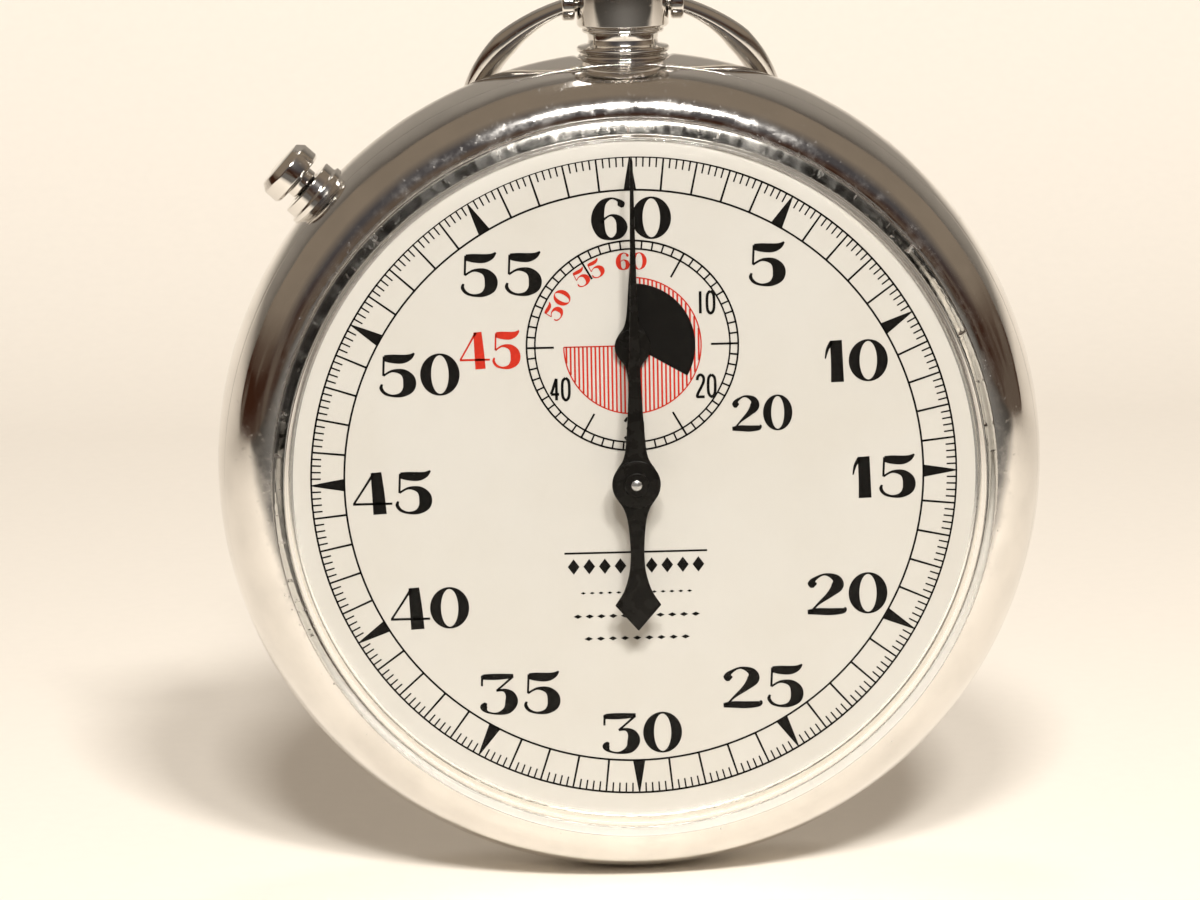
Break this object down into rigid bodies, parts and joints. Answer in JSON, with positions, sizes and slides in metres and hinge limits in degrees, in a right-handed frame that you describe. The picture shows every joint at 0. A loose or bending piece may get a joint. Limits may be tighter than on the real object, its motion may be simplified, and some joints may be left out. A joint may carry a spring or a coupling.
{
  "type": "mechanical stopwatch",
  "caption": "Round open-face pocket stopwatch with a sweep hand, a minute register, a winding crown in the pendant, a side reset button, a folding ring bow and a full going train inside.",
  "frame": {"origin": "centre of the case rim, on the middle plane that the pendant and the reset button also lie in; it is where a holder grips the rim", "axes": "-Y out of the dial, +Z towards 12 o'clock, +X towards 3 o'clock: the watch stands upright and faces -Y"},
  "size_m": [0.051, 0.0191, 0.0618],
  "materials": {
    "chrome": "polished, lightly scratched",
    "crystal": "clear domed",
    "dial_white": "satin enamel paint, printed",
    "black_paint": "gloss",
    "steel": "fine grained",
    "brass": "satin",
    "gilt_plate": "grained gilt",
    "blued_steel": "blued, polished",
    "ruby": "polished"
  },
  "bodies": {
    "body": {"case_middle": "chrome", "back_cover": "chrome", "bezel": "chrome", "crystal": "crystal", "pendant": "chrome", "button_sleeve": "chrome", "button_spring": "steel", "crown_spring": "steel", "dial": "dial_white", "dial_screws": "blued_steel", "movement_ring": "brass", "main_plate": "gilt_plate", "barrel_bridge": "gilt_plate", "train_bridge": "gilt_plate", "balance_cock": "gilt_plate", "pallet_cock": "gilt_plate", "bridge_screws": "blued_steel", "casing_screws": "blued_steel", "jewels": "ruby", "click_spring": "steel", "crown_wheel_screw": "blued_steel", "hairspring_stud": "steel"},
    "bow": {"bow": "chrome"},
    "crown_slide": {"stem_collar": "brass"},
    "crown": {"crown": "chrome", "winding_stem": "steel"},
    "reset_button": {"reset_button": "chrome"},
    "winding_pinion": {"winding_pinion": "steel"},
    "crown_wheel": {"crown_wheel": "steel"},
    "barrel_arbor": {"barrel_arbor": "steel", "ratchet_wheel": "steel", "ratchet_screw": "blued_steel"},
    "click": {"click": "steel"},
    "barrel": {"barrel": "brass", "barrel_cover": "brass", "mainspring": "steel"},
    "great_wheel": {"great_wheel": "brass"},
    "third_wheel": {"third_wheel": "brass"},
    "seconds": {"seconds_wheel": "brass", "seconds_heart": "steel", "sweep_hand": "black_paint"},
    "escape_wheel": {"escape_wheel": "brass"},
    "pallet_fork": {"pallet_fork": "steel"},
    "balance": {"balance_wheel": "brass", "hairspring": "blued_steel"},
    "transfer_wheel": {"transfer_wheel": "brass"},
    "minutes": {"minute_wheel": "brass", "minute_heart": "steel", "minute_hand": "black_paint"},
    "column_wheel": {"column_wheel": "steel"},
    "operating_lever": {"operating_lever": "steel"},
    "brake_lever": {"brake_lever": "steel"},
    "reset_hammer": {"reset_hammer": "steel"}
  },
  "joints": [
    {"name": "bow_swing", "type": "hinge", "parent": "body", "child": "bow", "pos_m": [0, 0, 0.0284], "axis": [1, 0, 0], "range_deg": [0, 283]},
    {"name": "crown_press", "type": "slide", "parent": "body", "child": "crown_slide", "axis": [0, 0, -1], "range_m": [0, 0.0012], "stiffness_N_per_m": 800, "springref_m": -0.001, "deforming": ["crown_spring"]},
    {"name": "crown_turn", "type": "hinge", "parent": "crown_slide", "child": "crown", "pos_m": [0, 0, 0.03], "axis": [0, 0, 1], "continuous": true},
    {"name": "reset_press", "type": "slide", "parent": "body", "child": "reset_button", "axis": [0.7431, 0, -0.6691], "range_m": [0, 0.0006], "stiffness_N_per_m": 500, "springref_m": -0.001, "deforming": ["button_spring"]},
    {"name": "winding_pinion_turn", "type": "hinge", "parent": "body", "child": "winding_pinion", "pos_m": [0, 0, 0.019], "axis": [0, 0, 1], "continuous": true},
    {"name": "crown_wheel_turn", "type": "hinge", "parent": "body", "child": "crown_wheel", "pos_m": [0, 0, 0.015], "axis": [0, 1, 0], "continuous": true},
    {"name": "ratchet_turn", "type": "hinge", "parent": "body", "child": "barrel_arbor", "pos_m": [0.00812, 0, 0.01003], "axis": [0, 1, 0], "continuous": true},
    {"name": "click_rock", "type": "hinge", "parent": "body", "child": "click", "pos_m": [0.01507, 0, 0.00749], "axis": [0, 1, 0], "range_deg": [0, 6], "stiffness_Nm_per_rad": 0.0005, "springref_deg": -11.46},
    {"name": "seconds_spin", "type": "hinge", "parent": "body", "child": "seconds", "pos_m": [0, 0, 0], "axis": [0, 1, 0], "continuous": true},
    {"name": "third_wheel_spin", "type": "hinge", "parent": "body", "child": "third_wheel", "pos_m": [0.00439, 0, -0.00054], "axis": [0, 1, 0], "continuous": true},
    {"name": "great_wheel_spin", "type": "hinge", "parent": "body", "child": "great_wheel", "pos_m": [0.00892, 0, 0.00166], "axis": [0, 1, 0], "continuous": true},
    {"name": "barrel_spin", "type": "hinge", "parent": "body", "child": "barrel", "pos_m": [0.00812, 0, 0.01003], "axis": [0, 1, 0], "continuous": true},
    {"name": "escape_wheel_spin", "type": "hinge", "parent": "body", "child": "escape_wheel", "pos_m": [-0.0009, 0, -0.00374], "axis": [0, 1, 0], "continuous": true},
    {"name": "transfer_wheel_spin", "type": "hinge", "parent": "body", "child": "transfer_wheel", "pos_m": [-0.0014, 0, 0.00396], "axis": [0, 1, 0], "continuous": true},
    {"name": "minutes_spin", "type": "hinge", "parent": "body", "child": "minutes", "pos_m": [0, 0, 0.00813], "axis": [0, 1, 0], "continuous": true},
    {"name": "balance_swing", "type": "hinge", "parent": "body", "child": "balance", "pos_m": [-0.00223, 0, -0.01299], "axis": [0, 1, 0], "range_deg": [-140, 140], "stiffness_Nm_per_rad": 0.000002, "deforming": ["hairspring"]},
    {"name": "pallet_rock", "type": "hinge", "parent": "body", "child": "pallet_fork", "pos_m": [-0.00155, 0, -0.00744], "axis": [0, 1, 0], "range_deg": [-7, 7]},
    {"name": "operating_lever_rock", "type": "hinge", "parent": "body", "child": "operating_lever", "pos_m": [-0.0052, 0, 0.0184], "axis": [0, 1, 0], "range_deg": [0, 15]},
    {"name": "column_wheel_turn", "type": "hinge", "parent": "body", "child": "column_wheel", "pos_m": [-0.0105, 0, 0.0085], "axis": [0, 1, 0], "range_deg": [0, 31]},
    {"name": "brake_lever_rock", "type": "hinge", "parent": "body", "child": "brake_lever", "pos_m": [-0.0135, 0, -0.0015], "axis": [0, 1, 0], "range_deg": [-3, 0]},
    {"name": "reset_hammer_rock", "type": "hinge", "parent": "body", "child": "reset_hammer", "pos_m": [-0.0088, 0, 0.0162], "axis": [0, 1, 0], "range_deg": [-10, 0]}
  ],
  "couplings": [
    {"joint": "winding_pinion_turn", "follows": "crown_turn", "ratio": 1},
    {"joint": "crown_wheel_turn", "follows": "crown_turn", "ratio": -0.64286},
    {"joint": "ratchet_turn", "follows": "crown_turn", "ratio": 0.45},
    {"joint": "third_wheel_spin", "follows": "seconds_spin", "ratio": -0.13333},
    {"joint": "great_wheel_spin", "follows": "seconds_spin", "ratio": 0.016667},
    {"joint": "barrel_spin", "follows": "seconds_spin", "ratio": -0.0027778},
    {"joint": "escape_wheel_spin", "follows": "seconds_spin", "ratio": -10},
    {"joint": "transfer_wheel_spin", "follows": "seconds_spin", "ratio": -0.16667},
    {"joint": "minutes_spin", "follows": "seconds_spin", "ratio": 0.016667},
    {"joint": "pallet_rock", "follows": "balance_swing", "ratio": -0.045},
    {"joint": "operating_lever_rock", "follows": "crown_press", "rad_per_m": 196.35},
    {"joint": "column_wheel_turn", "follows": "crown_press", "rad_per_m": 436.33},
    {"joint": "brake_lever_rock", "follows": "crown_press", "rad_per_m": -29.089},
    {"joint": "reset_hammer_rock", "follows": "reset_press", "rad_per_m": -218.17}
  ]
}
